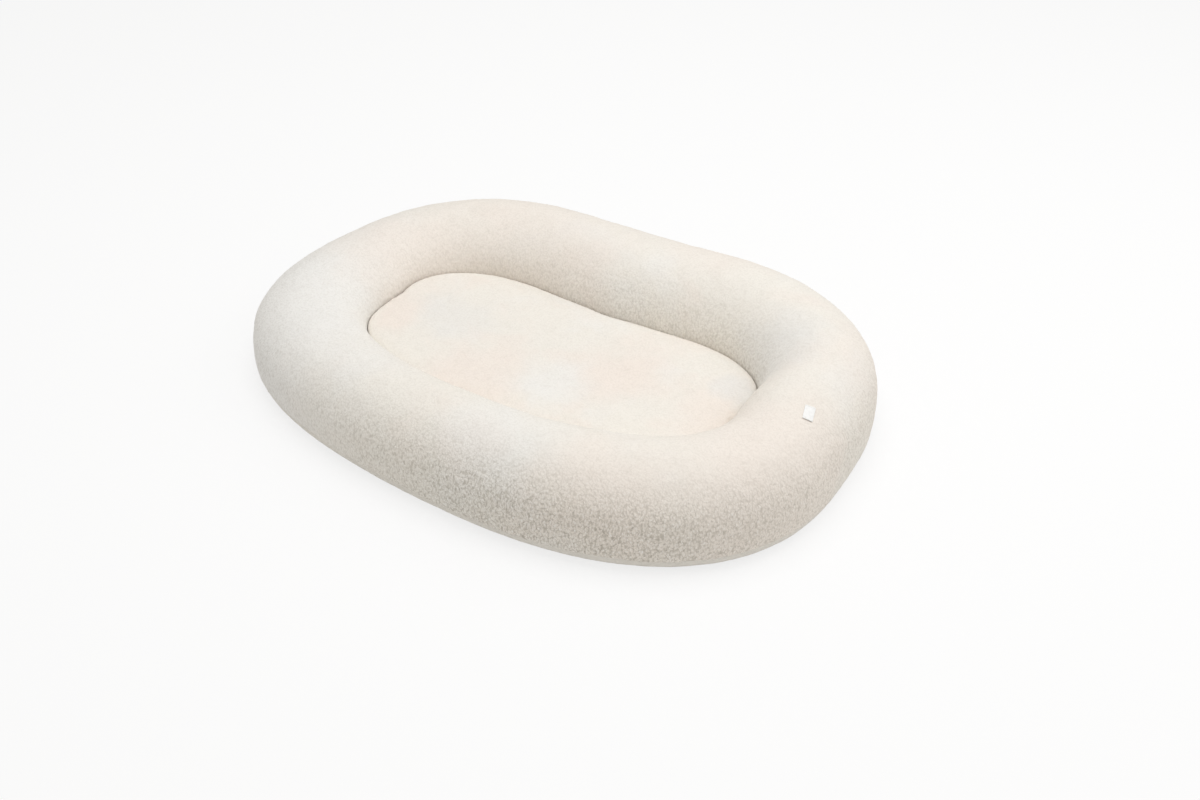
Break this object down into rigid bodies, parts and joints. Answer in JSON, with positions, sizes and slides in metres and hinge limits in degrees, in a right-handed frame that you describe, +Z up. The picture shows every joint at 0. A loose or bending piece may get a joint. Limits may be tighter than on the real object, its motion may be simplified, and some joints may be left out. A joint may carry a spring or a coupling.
{
  "type": "infant lounger",
  "caption": "Oval infant lounger: a fat fleece bolster ring on a zipped, padded sole, round a crowned fleece cushion that lifts out.",
  "frame": {"origin": "on the floor, under the middle of the lounger's outer box", "axes": "+X along the long side to the end with the label, +Y to the back, over the zip, +Z up"},
  "size_m": [0.886, 0.6054, 0.137],
  "materials": {
    "bolster_fleece": "matte",
    "cushion_fleece": "matte",
    "edge_cloth": "matte",
    "sole_cloth": "matte",
    "ticking": "matte",
    "fibre": "matte",
    "label_cloth": "satin",
    "underside_cloth": "matte",
    "foam": "matte",
    "zip_tape": "matte",
    "zip_teeth": "satin",
    "zip_metal": "satin"
  },
  "bodies": {
    "nest": {"bolster_cover": "bolster_fleece", "bolster_liner": "ticking", "bolster_filling": "fibre", "edge_band": "edge_cloth", "base_panel": "sole_cloth", "label": "label_cloth", "zip_tape_left": "zip_tape", "zip_tape_right": "zip_tape", "zip_teeth_left": "zip_teeth", "zip_teeth_right": "zip_teeth", "zip_top_stop_left": "zip_metal", "zip_top_stop_right": "zip_metal", "zip_bottom_stop": "zip_metal"},
    "cushion": {"cushion_top": "cushion_fleece", "cushion_bottom": "underside_cloth", "cushion_core": "foam"},
    "slider": {"zip_slider": "zip_metal"},
    "pull": {"zip_pull": "zip_metal"}
  },
  "joints": [
    {"name": "cushion_lift", "type": "slide", "parent": "nest", "child": "cushion", "axis": [0, 0, 1], "range_m": [0, 0.16]},
    {"name": "zip_run", "type": "slide", "parent": "nest", "child": "slider", "axis": [-1, 0, 0], "range_m": [0, 0.3118], "deforming": ["zip_teeth_left", "zip_teeth_right"]},
    {"name": "pull_swing", "type": "hinge", "parent": "slider", "child": "pull", "pos_m": [0.1583, 0.214, 0.00195], "axis": [0, -1, 0], "range_deg": [0, 150]}
  ]
}
